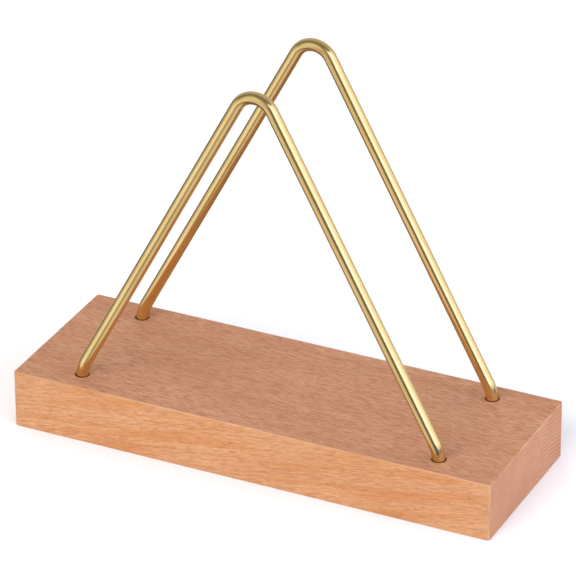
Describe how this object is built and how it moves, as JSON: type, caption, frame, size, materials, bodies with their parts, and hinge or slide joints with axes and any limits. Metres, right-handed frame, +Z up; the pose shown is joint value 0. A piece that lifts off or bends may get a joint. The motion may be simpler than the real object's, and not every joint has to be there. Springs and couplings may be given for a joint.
{
  "type": "napkin rack",
  "caption": "Tabletop rack: a rectangular wooden base with upright triangular frames of bent brass rod that hold paper napkins or filter papers on edge in the slot between them.",
  "frame": {"origin": "centre of the base block's underside", "axes": "+X along the block's length, +Y from the front frame to the rear frame, +Z up"},
  "size_m": [0.15, 0.052, 0.12],
  "materials": {
    "beech": "smooth sanded, lightly oiled, satin",
    "brass_rod": "satin, drawn rod"
  },
  "bodies": {
    "base": {"base_block": "beech"},
    "front_frame": {"front_frame": "brass_rod"},
    "rear_frame": {"rear_frame": "brass_rod"}
  },
  "joints": [
    {"name": "front_frame_lift", "type": "slide", "parent": "base", "child": "front_frame", "axis": [0, 0, 1], "range_m": [0, 0.012]},
    {"name": "rear_frame_lift", "type": "slide", "parent": "base", "child": "rear_frame", "axis": [0, 0, 1], "range_m": [0, 0.012]}
  ]
}
